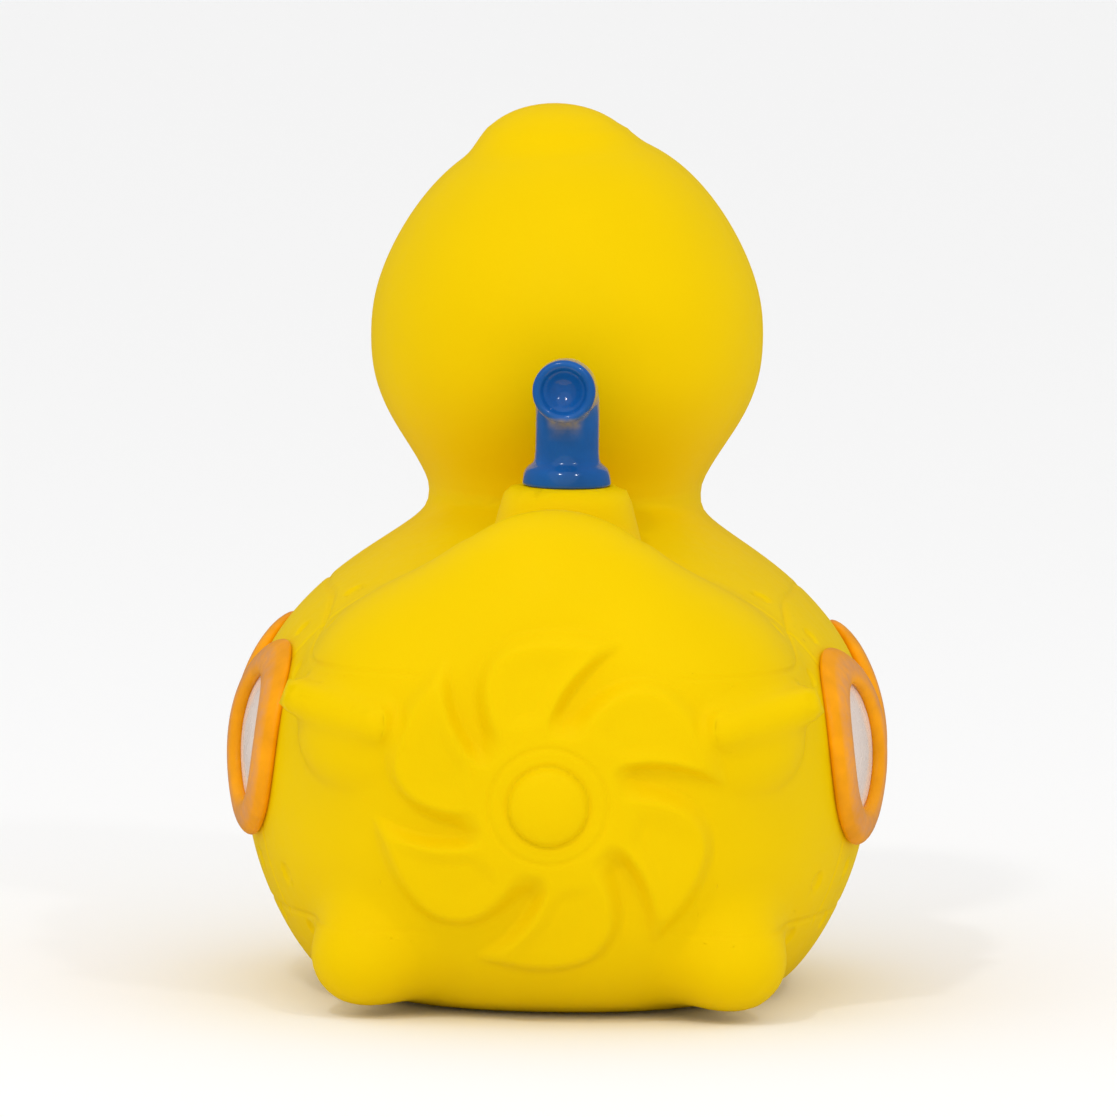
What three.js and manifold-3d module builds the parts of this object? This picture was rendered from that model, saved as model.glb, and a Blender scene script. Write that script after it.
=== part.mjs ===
// A floating bath duck styled as a small submarine, in millimetres, +Z up.
// The duck looks along +Y, its stern faces -Y, and the origin is the middle of its flat base.
import * as THREE from 'three';
import { mergeVertices } from 'three/addons/utils/BufferGeometryUtils.js';
import Module from 'manifold-3d';

const wasm = await Module();
wasm.setup();

// ---------- driving dimensions ----------
const GAP = 0.3;               // clearance between neighbouring solids
const WALL = 2.2;              // thickness of the cast vinyl
const BASE_HOLE_RADIUS = 13;   // opening in the base that the disc closes
const HULL_SEGMENTS = 44;
const HEAD_SEGMENTS = 32;
const SECTION_POWER = 2.3;     // roundness of the hull's level sections
const BEAM_Y = -2;             // station of the hull's greatest beam
const HEAD_Y = 13;             // the head's axis
const HEAD_DEPTH = 1.07;       // head length over head width
const NECK_Z = 50.4;           // seam between hull and head

// hull levels: height, half beam, stern y, breast y
const HULL_LEVELS = [
  [0, 21.5, -28.3, 27], [1.2, 23.6, -30.8, 29], [3.6, 26.1, -34.2, 31], [8.5, 29.1, -38.3, 34],
  [14, 31.3, -41, 36.4], [20, 32.5, -42.2, 37.8], [26, 32.8, -42.4, 38.3], [32, 31.6, -41.2, 37.9],
  [37, 29, -38.4, 37], [41.2, 25.1, -33.2, 35.4], [44, 21.4, -26.6, 33.6], [46.6, 17.3, -17.2, 31.4],
  [48.8, 14.6, -6.8, 29.2], [NECK_Z - GAP / 2, 14.3, -2.2, 28.2],
];

// head profile: height, half width
const HEAD_LEVELS = [
  [NECK_Z + GAP / 2, 14.3], [52.6, 15], [55.1, 16.5], [58.5, 18.6], [62.7, 20.2], [66.4, 20.6],
  [70.2, 20.35], [74, 19.3], [77.8, 17.5], [81, 15.4], [84, 12.7], [86.4, 9.4], [87.9, 5.7], [88.6, 2.4],
];
const HEAD_TOP = 88.8;
const HEAD_HOLLOW_RADIUS = 9;  // the hollow closes above the level where the head is this wide

const PROPELLER = { x: 0, z: 23.6, radius: 17.9, plateRadius: 8, relief: 1.5, blades: 6 };
const HUB = { radius: 4, base: 0.8, dome: 2.2 };
const HUB_GROOVE = { inner: 5.6, middle: 6, outer: 6.4, depth: 0.4 };
// a blade's angles are at its hub end and its tip, on its convex and on its hollow edge
const BLADE = { convex: [44, 21], hollow: [-5.5, -24.5], shoulder: 0.92, taper: 0.35 };

const STATIONS = { rear: -15, front: 12 };
const PORTHOLE = { radius: 8.6, tube: 1.6, z: 27, flatness: 0.6, rise: 0.75 };
const PERISCOPE = {
  x: 0.8, y: -15, flangeRadius: 4.6, tubeRadius: 3.5, flangeZ: 54, axisZ: 63.8, mouthY: -21.2,
};
const RECESS = { radius: 2.4, depth: 1.2 };
const TOWER = [[0, 42], [9, 42], [8.3, 46], [7.5, 50], [6.7, 52.8], [6.2, 53.6], [5.4, 53.7], [0, 53.7]];

// ellipsoids: centre, half axes and turns in radians; the stern planes and eyes are mirrored
const TAIL = { centre: [0, -29, 37], radii: [18.5, 13.2, 16.4] };
const TUFT = { centre: [-0.9, HEAD_Y - 0.5, 85.15], radii: [8.9, 8.8, 6.05], turn: [0, 0.05, 0] };
const UPPER_PLANE = { centre: [22.4, -34.4, 32.6], radii: [6.6, 5, 3], turn: [0, 0.12, 0.4] };
const LOWER_PLANE = { centre: [18.5, -30.6, 6.3], radii: [6.8, 6.4, 6], turn: [0, 0.5, 0] };
const UPPER_BILL = { centre: [0, 35.56, 62.6], radii: [9.2, 10, 3], turn: [-0.14, 0, 0] };
const LOWER_BILL = { centre: [0, 34, 58.6], radii: [7.2, 8, 2.6], turn: [-0.05, 0, 0] };
const EYE = { bearing: 0.52, z: 69.5, white: [3, 4.2], whiteDepth: 0.5, pupil: [1.9, 2.9], pupilDepth: 0.4 };

// fittings in the base: radii and heights
const DISC = { hole: 4.6, bottom: 0.5, top: 2.6 };
const WHISTLE = { clearance: 0.3, bottom: 1.2, floor: 3, top: 7.6, bore: 3, vent: 0.8 };
const REED = { radius: 2.7, bottom: 3.3, shoulder: 5.9, crown: 1.6, top: 6.4 };
const BALLAST = { inner: 5.4, outer: 12.2, bottom: 2.9, top: 5.6 };

// ---------- materials ----------
const paint = (color, roughness) => new THREE.MeshStandardMaterial({ color, roughness, metalness: 0 });
const vinyl = paint(0xf4d200, 0.55);
const orangePaint = paint(0xf08a10, 0.25);
const bluePaint = paint(0x1c62b2, 0.2);
const whitePaint = paint(0xe8dcd4, 0.3);
const blackPaint = paint(0x151515, 0.2);
const whitePlastic = paint(0xe6e3da, 0.4);
const steel = new THREE.MeshStandardMaterial({ color: 0x8c8f92, roughness: 0.35, metalness: 1 });

// ---------- helpers ----------
function closed(geometry) {
  geometry.deleteAttribute('normal');
  geometry.deleteAttribute('uv');
  return mergeVertices(geometry, 1e-4);
}

// turns a closed geometry's faces outwards when its signed volume is negative
function outward(geometry) {
  const solid = closed(geometry);
  const p = solid.attributes.position;
  const index = solid.index.array;
  const [a, b, c] = [new THREE.Vector3(), new THREE.Vector3(), new THREE.Vector3()];
  let volume = 0;
  for (let i = 0; i < index.length; i += 3) {
    a.fromBufferAttribute(p, index[i]);
    b.fromBufferAttribute(p, index[i + 1]);
    c.fromBufferAttribute(p, index[i + 2]);
    volume += a.dot(b.cross(c));
  }
  if (volume < 0) {
    for (let i = 0; i < index.length; i += 3) [index[i], index[i + 1]] = [index[i + 1], index[i]];
  }
  return solid;
}

function toManifold(geometry) {
  const solid = outward(geometry);
  return new wasm.Manifold(new wasm.Mesh({
    numProp: 3,
    vertProperties: new Float32Array(solid.attributes.position.array),
    triVerts: new Uint32Array(solid.index.array),
  }));
}

function toGeometry(manifold) {
  const mesh = manifold.getMesh();
  const geometry = new THREE.BufferGeometry();
  geometry.setAttribute('position', new THREE.BufferAttribute(mesh.vertProperties, 3));
  geometry.setIndex(new THREE.BufferAttribute(mesh.triVerts, 1));
  return geometry;
}

function cutBy(geometry, ...cutters) {
  let body = toManifold(geometry);
  for (const cutter of cutters) body = body.subtract(toManifold(cutter));
  return toGeometry(body);
}

function joined(...geometries) {
  return toGeometry(geometries.map(toManifold).reduce((sum, part) => sum.add(part)));
}

// moves every vertex of a geometry by a function of its position
function shaped(geometry, place) {
  const p = geometry.attributes.position;
  const v = new THREE.Vector3();
  for (let i = 0; i < p.count; i++) {
    v.fromBufferAttribute(p, i);
    place(v);
    p.setXYZ(i, v.x, v.y, v.z);
  }
  return geometry;
}

const turned = (points, segments) =>
  new THREE.LatheGeometry(points.map(([r, height]) => new THREE.Vector2(r, height)), segments);
const lathe = (points, segments) => turned(points, segments).rotateX(Math.PI / 2);
const tubeSection = (inner, outer, bottom, top) =>
  [[inner, bottom], [outer, bottom], [outer, top], [inner, top], [inner, bottom]];

// side is -1 to mirror the ellipsoid to the left, and grow thickens it all round
function ellipsoid({ centre, radii, turn = [0, 0, 0] }, { side = 1, grow = 0, segments = [20, 12] } = {}) {
  const geometry = new THREE.SphereGeometry(1, ...segments).scale(...radii.map((r) => r + grow));
  geometry.rotateX(turn[0]).rotateY(side * turn[1]).rotateZ(side * turn[2]);
  return geometry.translate(side * centre[0], centre[1], centre[2]);
}

// ---------- hull surface ----------
const hullFit = new THREE.CubicInterpolant(
  HULL_LEVELS.map((row) => row[0]), HULL_LEVELS.flatMap((row) => row.slice(1)), 3);

function hullLevel(z) {
  const top = HULL_LEVELS[HULL_LEVELS.length - 1][0];
  const [beam, stern, breast] = hullFit.evaluate(THREE.MathUtils.clamp(z, 0, top));
  return { beam, stern, breast, middle: Math.max(BEAM_Y, (stern + breast) / 2) };
}

// how far along its half length a section still has a share of its half width, and the reverse
const superellipse = (share) => (1 - Math.min(share, 0.999) ** SECTION_POWER) ** (1 / SECTION_POWER);

// the point at an angle round one level section, grown outwards by a margin
function hullPoint(angle, z, grow = 0) {
  const { beam, stern, breast, middle } = hullLevel(z);
  const power = 2 / SECTION_POWER;
  const across = Math.sign(Math.cos(angle)) * Math.abs(Math.cos(angle)) ** power;
  const along = Math.sign(Math.sin(angle)) * Math.abs(Math.sin(angle)) ** power;
  const reach = (along > 0 ? breast - middle : middle - stern) + grow;
  return new THREE.Vector3(across * (beam + grow), middle + along * reach, z);
}

// the stern's y at (x, z), on the hull or on the tail where that stands out further
function sternY(x, z) {
  const { beam, stern, middle } = hullLevel(z);
  const hull = middle - (middle - stern) * superellipse(Math.abs(x) / beam);
  const { centre: [, tailY, tailZ], radii: [across, along, up] } = TAIL;
  const inside = 1 - (x / across) ** 2 - ((z - tailZ) / up) ** 2;
  return Math.min(hull, inside > 0 ? tailY - along * Math.sqrt(inside) : hull);
}

// the right side's x at (y, z)
function sideX(y, z) {
  const { beam, stern, breast, middle } = hullLevel(z);
  return beam * superellipse(y > middle ? (y - middle) / (breast - middle) : (middle - y) / (middle - stern));
}

// a geometry modelled flat (x across, z up, y outwards) laid on the stern
const onStern = (geometry) => shaped(geometry, (v) => { v.y = sternY(v.x, v.z) - v.y; });

// a geometry modelled flat (x fore and aft, y up, z outwards) laid on one side
function onSide(geometry, side, y, z) {
  return shaped(geometry, (v) => {
    const [along, up, out] = [v.x, v.y, v.z];
    v.set(side * (sideX(y + along, z + up) + out), y + along, z + up);
  });
}

// a lathe whose every ring follows a level section of the hull
function hullLathe(rings, segments) {
  const geometry = new THREE.LatheGeometry(rings.map((_, i) => new THREE.Vector2(1 + i, i)), segments);
  const p = geometry.attributes.position;
  for (let i = 0; i < p.count; i++) {
    const angle = (Math.floor(i / rings.length) / segments) * 2 * Math.PI;
    const point = rings[i % rings.length](angle);
    p.setXYZ(i, point.x, point.y, point.z);
  }
  return geometry;
}

const circleRing = (radius, z) => (angle) =>
  new THREE.Vector3(radius * Math.cos(angle), radius * Math.sin(angle), z);
const hullRing = (level, z, grow) => (angle) => hullPoint(angle, level, grow).setZ(z);

function grownHull(grow) {
  const levels = HULL_LEVELS.map((row) => row[0]);
  const top = levels[levels.length - 1];
  const rings = [circleRing(0, -grow), ...levels.map((z) => hullRing(z, z === 0 ? -grow : z, grow))];
  rings.push(hullRing(top, top + grow, grow), circleRing(0, top + grow));
  return hullLathe(rings, HULL_SEGMENTS);
}

// ---------- head surface ----------
const headFit = new THREE.CubicInterpolant(
  HEAD_LEVELS.map((row) => row[0]), HEAD_LEVELS.map((row) => row[1]), 1);
const headRadius = (z) => headFit.evaluate(
  THREE.MathUtils.clamp(z, HEAD_LEVELS[0][0], HEAD_LEVELS[HEAD_LEVELS.length - 1][0]))[0];
const headShift = (v) => { v.y = HEAD_Y + v.y * HEAD_DEPTH; };

function grownHead(grow) {
  const rows = HEAD_LEVELS.map(([z, r]) => [r + grow, z]);
  const outline = [[0, NECK_Z - grow], [rows[0][0], NECK_Z - grow], ...rows, [0, HEAD_TOP + grow]];
  return shaped(lathe(outline, HEAD_SEGMENTS), headShift);
}

// a geometry modelled flat (x across, y up, z outwards) laid on the head's front at a bearing
function onHead(geometry, bearing, z) {
  return shaped(geometry, (v) => {
    const r = headRadius(z + v.y);
    const angle = bearing + v.x / r;
    v.set((r + v.z) * Math.sin(angle), (r + v.z) * Math.cos(angle), z + v.y);
    headShift(v);
  });
}

// ---------- the cast vinyl body ----------
function hullShell() {
  const levels = HULL_LEVELS.map((row) => row[0]);
  const outer = levels.map((z) => hullRing(z, z, 0));
  const inner = levels.filter((z) => z > WALL).reverse().map((z) => hullRing(z, z, -WALL));
  const floor = [hullRing(2 * WALL, WALL, -2 * WALL), circleRing(BASE_HOLE_RADIUS, WALL)];
  const rings = [circleRing(BASE_HOLE_RADIUS, 0), ...outer, ...inner, ...floor];
  rings.push(circleRing(BASE_HOLE_RADIUS, 0));
  return hullLathe(rings, HULL_SEGMENTS);
}

function headShell() {
  const outer = HEAD_LEVELS.map(([z, r]) => [r, z]);
  const hollow = HEAD_LEVELS.filter((row) => row[1] > HEAD_HOLLOW_RADIUS);
  const inner = hollow.map(([z, r]) => [r - WALL, z]).reverse();
  const crown = [[0, HEAD_TOP], [0, HEAD_TOP - WALL]];
  return shaped(lathe([...outer, ...crown, ...inner, outer[0]], HEAD_SEGMENTS), headShift);
}

const tuft = () => cutBy(ellipsoid(TUFT), grownHead(GAP));

const grownTail = (grow) => ellipsoid(TAIL, { grow, segments: [30, 16] });
const tail = () => cutBy(grownTail(0), grownHull(GAP));

function conningTower() {
  const block = lathe(TOWER, 32).translate(PERISCOPE.x, PERISCOPE.y, 0);
  return cutBy(block, grownHull(GAP), grownHead(GAP), grownTail(GAP));
}

// the rounded stern planes stand in an X round the propeller
const sternPlane = (plane, side) => cutBy(ellipsoid(plane, { side }), grownHull(GAP));

// ---------- moulded propeller ----------
function blade(number) {
  const { x, z, radius, plateRadius, relief, blades } = PROPELLER;
  const slab = new THREE.BoxGeometry(1, 1, 1, 5, 1, 6);
  const { degToRad, lerp } = THREE.MathUtils;
  return onStern(shaped(slab, (v) => {
    const out = v.x + 0.5;                       // 0 at the hub end, 1 at the tip
    const across = v.z + 0.5;                    // 0 at the convex edge, 1 at the hollow edge
    const reach = radius * lerp(1, BLADE.shoulder, (1 - across) ** 4);
    const r = lerp(plateRadius + GAP, reach, out);
    const bow = out ** 1.25;
    const turn = lerp(lerp(...BLADE.convex, bow), lerp(...BLADE.hollow, bow), across);
    const angle = degToRad(turn - (number * 360) / blades);
    const height = v.y > 0 ? GAP + relief * (1 - BLADE.taper * out) : GAP;
    v.set(x - r * Math.sin(angle), height, z + r * Math.cos(angle));
  }));
}

function propellerPlate() {
  const { x, z, plateRadius, relief } = PROPELLER;
  const { inner, middle, outer, depth } = HUB_GROOVE;
  const [low, high, seat] = [GAP, GAP + relief, HUB.radius + GAP];
  const section = [[seat, low], [plateRadius, low], [plateRadius, high], [outer, high],
    [middle, high - depth], [inner, high], [seat, high], [seat, low]];
  return onStern(turned(section, 36).translate(x, 0, z));
}

function propellerHub() {
  const { x, z } = PROPELLER;
  const steps = 6;
  const dome = Array.from({ length: steps }, (_, i) => {
    const turn = (i / steps) * (Math.PI / 2);
    return [HUB.radius * Math.cos(turn), HUB.base + HUB.dome * Math.sin(turn)];
  });
  const section = [[0, GAP], [HUB.radius, GAP], ...dome, [0, HUB.base + HUB.dome]];
  return onStern(turned(section, 24).translate(x, 0, z));
}

// ---------- portholes ----------
function rim(side, y) {
  const { radius, tube, z, flatness, rise } = PORTHOLE;
  const ring = new THREE.TorusGeometry(radius, tube, 8, 24);
  return onSide(shaped(ring, (v) => { v.z = Math.max(GAP, v.z * flatness + rise); }), side, y, z);
}

function pane(side, y) {
  const { radius, tube, z } = PORTHOLE;
  const edge = radius - tube - GAP;
  const section = [[0, GAP], [edge, GAP], [edge, 2 * GAP], [edge / 2, 3 * GAP], [0, 3 * GAP]];
  return onSide(lathe(section, 20), side, y, z);
}

// ---------- periscope ----------
function periscopeBody() {
  const { x, y, flangeRadius, tubeRadius, flangeZ, axisZ, mouthY } = PERISCOPE;
  const section = [[0, 0], [flangeRadius - 0.3, 0], [flangeRadius, 0.4], [flangeRadius, 1.1],
    [flangeRadius - 0.7, 1.8], [tubeRadius, 2.1], [0, 2.1]];
  const flange = lathe(section, 28).translate(x, y, flangeZ);
  const bend = tubeRadius + 0.6;
  const foot = new THREE.Vector3(x, y, flangeZ + 1);
  const bendStart = new THREE.Vector3(x, y, axisZ - bend);
  const corner = new THREE.Vector3(x, y, axisZ);
  const bendEnd = new THREE.Vector3(x, y - bend, axisZ);
  const path = new THREE.CurvePath();
  path.add(new THREE.LineCurve3(foot, bendStart));
  path.add(new THREE.QuadraticBezierCurve3(bendStart, corner, bendEnd));
  path.add(new THREE.LineCurve3(bendEnd, new THREE.Vector3(x, mouthY, axisZ)));
  const round = new THREE.Shape().absarc(0, 0, tubeRadius, 0, 2 * Math.PI);
  const tube = new THREE.ExtrudeGeometry(round, { steps: 18, curveSegments: 10, extrudePath: path });
  const recess = new THREE.CylinderGeometry(RECESS.radius, RECESS.radius, 2 * RECESS.depth, 24);
  return cutBy(joined(flange, tube), recess.translate(x, mouthY, axisZ));
}

// a shallow dish on the floor of the mouth's recess
function periscopeLens() {
  const { x, axisZ, mouthY } = PERISCOPE;
  const edge = RECESS.radius - GAP;
  const dish = turned([[0, 0], [edge, 0], [edge, 0.8], [edge / 2, 0.45], [0, 0.3]], 24);
  return dish.rotateX(Math.PI).translate(x, mouthY + RECESS.depth - GAP, axisZ);
}

// ---------- face ----------
const upperBill = (grow) => ellipsoid(UPPER_BILL, { grow, segments: [24, 12] });
const beakUpper = () => cutBy(upperBill(0), grownHead(GAP));
const beakLower = () => cutBy(ellipsoid(LOWER_BILL, { segments: [24, 12] }), grownHead(GAP), upperBill(GAP));

function facePatch(side, radii, lift, depth) {
  const section = [[0, lift], [1, lift], [1, lift + depth / 2], [0.6, lift + depth], [0, lift + depth]];
  return onHead(lathe(section, 20).scale(...radii, 1), side * EYE.bearing, EYE.z);
}

// ---------- base fittings ----------
const baseDisc = () => lathe(tubeSection(DISC.hole, BASE_HOLE_RADIUS - GAP, DISC.bottom, DISC.top), 40);
const ballast = () => lathe(tubeSection(BALLAST.inner, BALLAST.outer, BALLAST.bottom, BALLAST.top), 40);

function whistleCase() {
  const { clearance, bottom, floor, top, bore, vent } = WHISTLE;
  const outer = DISC.hole - clearance;
  return lathe([[vent, bottom], [outer, bottom], [outer, top], [bore, top], [bore, floor], [vent, floor],
    [vent, bottom]], 28);
}

function whistleReed() {
  const { radius, bottom, shoulder, crown, top } = REED;
  const { vent } = WHISTLE;
  return lathe([[vent, bottom], [radius, bottom], [radius, shoulder], [crown, top], [vent, top],
    [vent, bottom]], 24);
}

// ---------- assembly ----------
const group = new THREE.Group();

function add(name, geometry, material) {
  const mesh = new THREE.Mesh(outward(geometry), material);
  mesh.name = name;
  group.add(mesh);
}

add('hull_shell', hullShell(), vinyl);
add('head_shell', headShell(), vinyl);
add('head_tuft', tuft(), vinyl);
add('tail', tail(), vinyl);
add('conning_tower', conningTower(), vinyl);

for (const [name, side] of [['left', -1], ['right', 1]]) {
  add(`stern_plane_upper_${name}`, sternPlane(UPPER_PLANE, side), vinyl);
  add(`stern_plane_lower_${name}`, sternPlane(LOWER_PLANE, side), vinyl);
  for (const [place, y] of Object.entries(STATIONS)) {
    add(`porthole_rim_${place}_${name}`, rim(side, y), orangePaint);
    add(`porthole_pane_${place}_${name}`, pane(side, y), whitePaint);
  }
  add(`eye_${name}`, facePatch(side, EYE.white, GAP, EYE.whiteDepth), whitePaint);
  add(`pupil_${name}`, facePatch(side, EYE.pupil, 2 * GAP + EYE.whiteDepth, EYE.pupilDepth), blackPaint);
}

for (let i = 0; i < PROPELLER.blades; i++) add(`propeller_blade_${i + 1}`, blade(i), vinyl);
add('propeller_plate', propellerPlate(), vinyl);
add('propeller_hub', propellerHub(), vinyl);
add('periscope', periscopeBody(), bluePaint);
add('periscope_lens', periscopeLens(), bluePaint);
add('beak_upper', beakUpper(), orangePaint);
add('beak_lower', beakLower(), orangePaint);
add('base_disc', baseDisc(), vinyl);
add('ballast_ring', ballast(), steel);
add('whistle_case', whistleCase(), whitePlastic);
add('whistle_reed', whistleReed(), whitePlastic);

export default group;
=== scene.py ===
"""Looks of a submarine bath duck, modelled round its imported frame.

The scene is in metres, with +Z up and the stern at -Y. The body's form and the relief on it are worked out in
millimetres, and so are the flat pieces before they are bent onto it.
"""

import math

import bmesh
import bpy
import numpy as np
from bpy.props import FloatProperty, FloatVectorProperty, IntProperty, PointerProperty
from mathutils import Matrix, Vector


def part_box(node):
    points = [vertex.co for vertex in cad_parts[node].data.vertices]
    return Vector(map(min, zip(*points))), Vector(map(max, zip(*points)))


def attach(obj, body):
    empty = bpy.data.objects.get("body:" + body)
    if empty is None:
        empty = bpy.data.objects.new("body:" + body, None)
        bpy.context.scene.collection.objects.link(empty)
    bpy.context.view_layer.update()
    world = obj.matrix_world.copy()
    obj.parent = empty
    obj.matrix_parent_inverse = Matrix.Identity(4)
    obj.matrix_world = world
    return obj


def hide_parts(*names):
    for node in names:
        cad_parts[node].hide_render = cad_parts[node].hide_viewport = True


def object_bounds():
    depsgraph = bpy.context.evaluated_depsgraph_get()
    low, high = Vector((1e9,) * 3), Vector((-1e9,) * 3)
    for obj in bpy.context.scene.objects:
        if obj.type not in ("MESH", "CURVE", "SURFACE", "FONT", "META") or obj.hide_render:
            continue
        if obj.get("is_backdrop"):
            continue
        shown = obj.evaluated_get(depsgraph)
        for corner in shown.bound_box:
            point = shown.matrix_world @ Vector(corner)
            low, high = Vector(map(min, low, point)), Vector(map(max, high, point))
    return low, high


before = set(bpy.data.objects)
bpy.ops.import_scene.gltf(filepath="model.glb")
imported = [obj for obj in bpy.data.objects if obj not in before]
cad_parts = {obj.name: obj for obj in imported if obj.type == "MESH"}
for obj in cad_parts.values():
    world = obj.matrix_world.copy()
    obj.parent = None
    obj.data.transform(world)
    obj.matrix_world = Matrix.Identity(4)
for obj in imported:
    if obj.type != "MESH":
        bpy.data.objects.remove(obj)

bl_info = {
    "name": "Submarine Bath Duck",
    "version": (1, 0, 0),
    "blender": (4, 5, 0),
    "location": "View3D > Sidebar > Bath Duck",
    "description": "Models a cast vinyl bath duck with portholes, a periscope and a moulded propeller",
    "category": "Add Mesh",
}

MM = 0.001
BODY = "body"
WHISTLE = "whistle"
SIDES = (("left", -1), ("right", 1))
STATIONS = ("rear", "front")


# ---------------------------------------------------------------- sizes and colours
def colour(name, default, description):
    return FloatVectorProperty(name=name, description=description, default=default, size=3, subtype="COLOR",
                               min=0, max=1)


def length(name, millimetres, description):
    return FloatProperty(name=name, description=description, default=millimetres * MM, unit="LENGTH",
                         precision=5)


def degrees(name, value, description):
    return FloatProperty(name=name, description=description, default=math.radians(value), subtype="ANGLE")


class DuckColours(bpy.types.PropertyGroup):
    vinyl: colour("Vinyl", (0.83, 0.56, 0.0), "Yellow of the cast vinyl")
    orange: colour("Orange", (0.93, 0.35, 0.0), "Orange paint of the rims and the beak")
    # Painted highlight: this paler orange goes in patches on the rims' crest, where it stands in for the
    # crest's highlight.
    lip: colour("Lip", (0.72, 0.31, 0.1), "Where the rims' paint is worn thin")
    blue: colour("Blue", (0.006, 0.095, 0.35), "Blue paint of the periscope")
    pane: colour("Pane", (0.84, 0.72, 0.65), "Pale paint of the porthole panes")
    dark: colour("Dark", (0.012, 0.012, 0.013), "Black paint of the pupils")


class DuckSizes(bpy.types.PropertyGroup):
    voxel: length("Voxel", 0.94, "Grain of the mesh that the body is blended from")
    relief: length("Relief", 1.2, "How far the propeller's blades stand off the stern")
    rivet: length("Rivet", 2.3, "Diameter of a rivet dimple")
    seam: length("Seam", 0.5, "Width of an engraved seam")
    blades: IntProperty(name="Blades", description="Blades of the moulded propeller", default=6, min=3, max=8)


class DuckStage(bpy.types.PropertyGroup):
    azimuth: degrees("Azimuth", 1.3, "Camera bearing, to the right of dead astern")
    elevation: degrees("Elevation", 6, "Camera height angle")
    roll: degrees("Roll", 0.8, "Camera lean, to its own left")
    distance: length("Distance", 1800, "Camera to the duck")
    span: length("Span", 116.7, "Width of the picture at the duck")
    floor: FloatProperty(name="Floor", description="How pale the floor is", default=0.96, min=0, max=1)
    room: FloatProperty(name="Room", description="Strength of the white surroundings", default=0.87, min=0)
    mirrored: FloatProperty(name="Mirrored", description="How bright floor and room are to gloss",
                            default=0.2, min=0)


# ---------------------------------------------------------------- small tools
def deselect():
    if bpy.context.mode != "OBJECT":
        bpy.ops.object.mode_set(mode="OBJECT")
    bpy.ops.object.select_all(action="DESELECT")


def activate(*objs):
    deselect()
    for o in objs:
        o.select_set(True)
    bpy.context.view_layer.objects.active = objs[0]


def settle(obj, name):
    """Names a piece and moves its place into its mesh."""
    activate(obj)
    bpy.ops.object.transform_apply(location=True, rotation=True, scale=True)
    obj.name = name
    obj.data.name = name
    return obj


def apply_modifier(obj, kind, **values):
    activate(obj)
    modifier = obj.modifiers.new(kind.title(), kind)
    for key, value in values.items():
        setattr(modifier, key, value)
    bpy.ops.object.modifier_apply(modifier=modifier.name)


def smooth(obj, angle=60):
    activate(obj)
    bpy.ops.object.shade_smooth_by_angle(angle=math.radians(angle))


def points(obj):
    co = np.zeros(len(obj.data.vertices) * 3)
    obj.data.vertices.foreach_get("co", co)
    return co.reshape(-1, 3)


def set_points(obj, co):
    obj.data.vertices.foreach_set("co", np.asarray(co, float).ravel())
    obj.data.update()


def finish_piece(obj, name, body, slot, material, *nodes):
    settle(obj, name)
    obj.data.materials.clear()
    obj.data.materials.append(material)
    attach(obj, body)
    if nodes:
        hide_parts(*nodes)
    return obj


# ---------------------------------------------------------------- the body's form
class Spline:
    """A natural cubic through a few stations, smooth to its second slope."""

    def __init__(self, stations, values):
        self.x, self.y = np.asarray(stations, float), np.asarray(values, float)
        gap = np.diff(self.x)
        n = len(self.x)
        system, right = np.eye(n), np.zeros(n)
        for i in range(1, n - 1):
            system[i, i - 1:i + 2] = gap[i - 1], 2 * (gap[i - 1] + gap[i]), gap[i]
            right[i] = 6 * ((self.y[i + 1] - self.y[i]) / gap[i] - (self.y[i] - self.y[i - 1]) / gap[i - 1])
        self.bend = np.linalg.solve(system, right)

    def __call__(self, at):
        at = np.clip(at, self.x[0], self.x[-1])
        i = np.clip(np.searchsorted(self.x, at) - 1, 0, len(self.x) - 2)
        gap = self.x[i + 1] - self.x[i]
        low, high = (self.x[i + 1] - at) / gap, (at - self.x[i]) / gap
        curve = ((low**3 - low) * self.bend[i] + (high**3 - high) * self.bend[i + 1]) * gap**2 / 6
        return low * self.y[i] + high * self.y[i + 1] + curve


def smoothstep(low, high, x):
    t = np.clip((x - low) / (high - low), 0, 1)
    return t * t * (3 - 2 * t)


def band(x, rise, fall):
    """One between two soft edges, each given by where it is nothing and where it is full."""
    return smoothstep(*rise, x) * smoothstep(*fall, x)


def blend_union(a, b, radius):
    share = np.maximum(radius - np.abs(a - b), 0) / radius
    return np.minimum(a, b) - share**2 * radius / 4


def turned(p, centre, _radii, turns):
    """Points seen from a lump's own axes, its turns about X, Y and Z given in degrees."""
    about_x, about_y, about_z = (Matrix.Rotation(math.radians(a), 3, axis) for a, axis in zip(turns, "XYZ"))
    return (p - np.array(centre)) @ np.array(about_z @ about_y @ about_x)


def round_slab(p, halves, edge):
    """Distance to a box with rounded edges."""
    off = np.abs(p) - (np.array(halves, float) - edge)
    return np.linalg.norm(np.maximum(off, 0), axis=1) + np.minimum(off.max(axis=1), 0) - edge


def ellipsoid(p, radii):
    radii = np.array(radii, float)
    near = np.linalg.norm(p / radii, axis=1)
    return near * (near - 1) / np.maximum(np.linalg.norm(p / radii**2, axis=1), 1e-9)


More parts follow.
